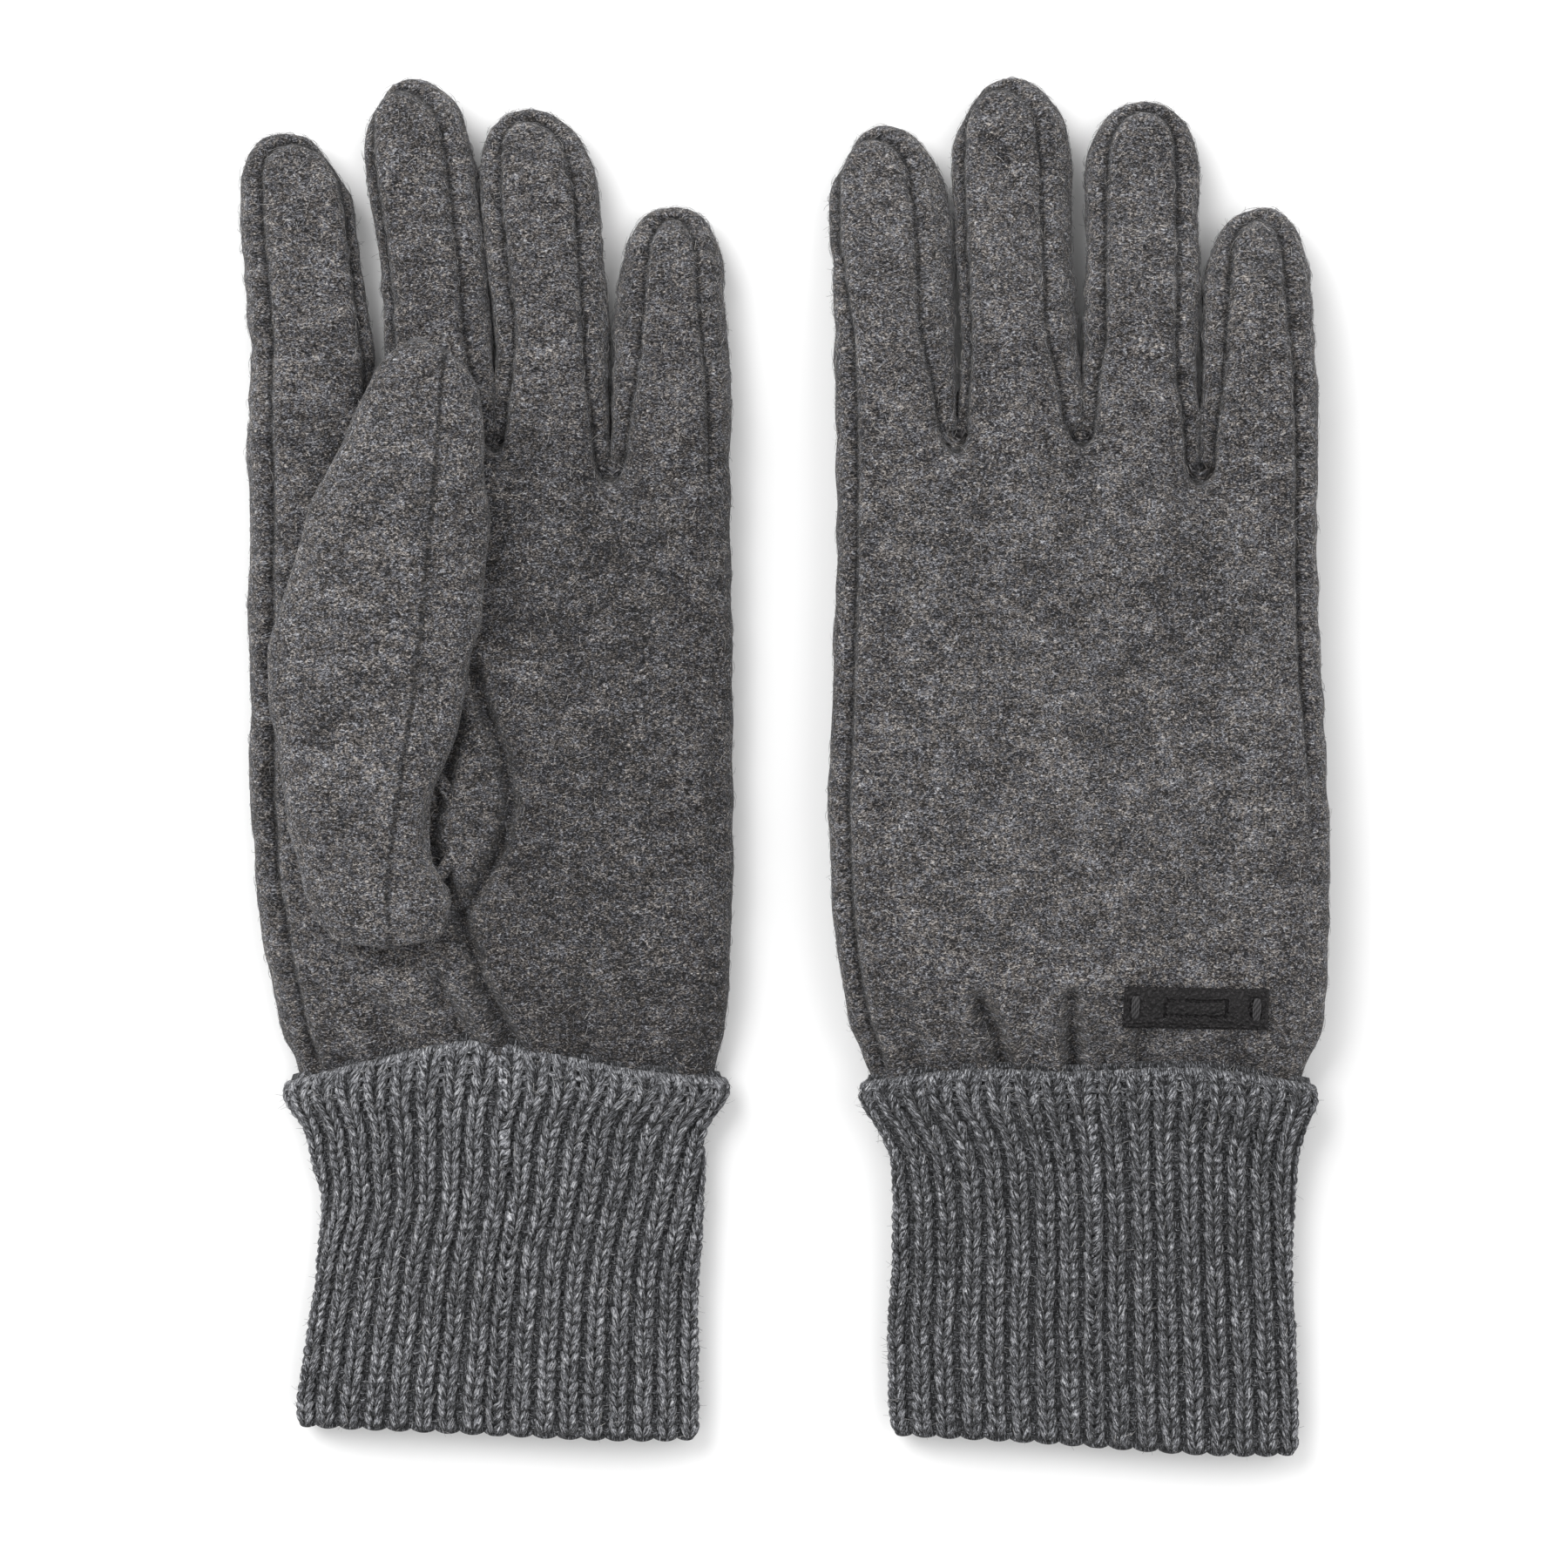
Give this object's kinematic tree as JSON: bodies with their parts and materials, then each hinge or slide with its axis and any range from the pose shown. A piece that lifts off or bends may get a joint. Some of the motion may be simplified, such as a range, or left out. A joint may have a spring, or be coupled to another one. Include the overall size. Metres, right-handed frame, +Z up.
{
  "type": "wool gloves",
  "caption": "Pair of charcoal melange wool gloves with rib-knit cuffs and a small black leather label, laid flat, one palm up and one back up.",
  "frame": {"origin": "on the table, under the middle of the pair's bounding box", "axes": "+Z up from the table, +Y towards the fingertips, +X from the left glove to the right glove"},
  "size_m": [0.2344, 0.3002, 0.0268],
  "materials": {
    "brushed_wool": "brushed wool jersey, charcoal melange",
    "rib_knit": "chunky rib knit, charcoal melange",
    "rib_band": "smooth rolled knit, charcoal melange",
    "label_leather": "pebbled black leather with a blind debossed frame",
    "label_thread": "matt sewing thread"
  },
  "bodies": {
    "left_hand": {"left_palm_panel": "brushed_wool", "left_back_panel": "brushed_wool", "left_index_edge_strip": "brushed_wool", "left_little_edge_strip": "brushed_wool", "left_fourchette_index_middle": "brushed_wool", "left_fourchette_middle_ring": "brushed_wool", "left_fourchette_ring_little": "brushed_wool", "left_thumb_gusset": "brushed_wool"},
    "left_thumb": {"left_thumb_outer_half": "brushed_wool", "left_thumb_inner_half": "brushed_wool", "left_thumb_under_panel": "brushed_wool"},
    "left_cuff": {"left_wrist_band": "rib_band", "left_rib_cuff": "rib_knit"},
    "left_index": {"left_index_front": "brushed_wool", "left_index_back": "brushed_wool", "left_index_strip": "brushed_wool"},
    "left_middle": {"left_middle_front": "brushed_wool", "left_middle_back": "brushed_wool", "left_middle_strip": "brushed_wool"},
    "left_ring": {"left_ring_front": "brushed_wool", "left_ring_back": "brushed_wool", "left_ring_strip": "brushed_wool"},
    "left_little": {"left_little_front": "brushed_wool", "left_little_back": "brushed_wool", "left_little_strip": "brushed_wool"},
    "right_hand": {"right_palm_panel": "brushed_wool", "right_back_panel": "brushed_wool", "right_index_edge_strip": "brushed_wool", "right_little_edge_strip": "brushed_wool", "right_fourchette_index_middle": "brushed_wool", "right_fourchette_middle_ring": "brushed_wool", "right_fourchette_ring_little": "brushed_wool", "right_thumb_gusset": "brushed_wool", "right_label": "label_leather", "right_label_threads": "label_thread"},
    "right_thumb": {"right_thumb_outer_half": "brushed_wool", "right_thumb_inner_half": "brushed_wool", "right_thumb_under_panel": "brushed_wool"},
    "right_cuff": {"right_wrist_band": "rib_band", "right_rib_cuff": "rib_knit"},
    "right_index": {"right_index_front": "brushed_wool", "right_index_back": "brushed_wool", "right_index_strip": "brushed_wool"},
    "right_middle": {"right_middle_front": "brushed_wool", "right_middle_back": "brushed_wool", "right_middle_strip": "brushed_wool"},
    "right_ring": {"right_ring_front": "brushed_wool", "right_ring_back": "brushed_wool", "right_ring_strip": "brushed_wool"},
    "right_little": {"right_little_front": "brushed_wool", "right_little_back": "brushed_wool", "right_little_strip": "brushed_wool"}
  },
  "joints": [
    {"name": "left_index_bend", "type": "hinge", "parent": "left_hand", "child": "left_index", "pos_m": [-0.10257, 0.0941, 0.015], "axis": [1, 0, 0], "range_deg": [0, 90]},
    {"name": "left_middle_bend", "type": "hinge", "parent": "left_hand", "child": "left_middle", "pos_m": [-0.07537, 0.0941, 0.015], "axis": [1, 0, 0], "range_deg": [0, 90]},
    {"name": "left_ring_bend", "type": "hinge", "parent": "left_hand", "child": "left_ring", "pos_m": [-0.04977, 0.096, 0.015], "axis": [1, 0, 0], "range_deg": [0, 90]},
    {"name": "left_little_bend", "type": "hinge", "parent": "left_hand", "child": "left_little", "pos_m": [-0.02367, 0.086, 0.015], "axis": [1, 0, 0], "range_deg": [0, 90]},
    {"name": "left_thumb_swing", "type": "hinge", "parent": "left_hand", "child": "left_thumb", "pos_m": [-0.08597, -0.0155, 0.0158], "axis": [0, 0, 1], "range_deg": [0, 50]},
    {"name": "left_cuff_fold", "type": "hinge", "parent": "left_hand", "child": "left_cuff", "pos_m": [-0.06297, -0.064, 0.015], "axis": [-1, 0, 0], "range_deg": [0, 60]},
    {"name": "right_index_bend", "type": "hinge", "parent": "right_hand", "child": "right_index", "pos_m": [0.02443, 0.0941, 0.0092], "axis": [-1, 0, 0], "range_deg": [-9, 78]},
    {"name": "right_middle_bend", "type": "hinge", "parent": "right_hand", "child": "right_middle", "pos_m": [0.05163, 0.0941, 0.0092], "axis": [-1, 0, 0], "range_deg": [-9, 78]},
    {"name": "right_ring_bend", "type": "hinge", "parent": "right_hand", "child": "right_ring", "pos_m": [0.07723, 0.096, 0.0092], "axis": [-1, 0, 0], "range_deg": [-9, 78]},
    {"name": "right_little_bend", "type": "hinge", "parent": "right_hand", "child": "right_little", "pos_m": [0.10333, 0.086, 0.0092], "axis": [-1, 0, 0], "range_deg": [-9, 78]},
    {"name": "right_thumb_swing", "type": "hinge", "parent": "right_hand", "child": "right_thumb", "pos_m": [0.04103, -0.0155, 0.0084], "axis": [0, 0, 1], "range_deg": [0, 27]},
    {"name": "right_cuff_fold", "type": "hinge", "parent": "right_hand", "child": "right_cuff", "pos_m": [0.06403, -0.064, 0.0092], "axis": [1, 0, 0], "range_deg": [-6, 54]},
    {"name": "right_glove_lift", "type": "slide", "parent": "left_hand", "child": "right_hand", "axis": [0, 0, 1], "range_m": [0, 0.12]}
  ]
}
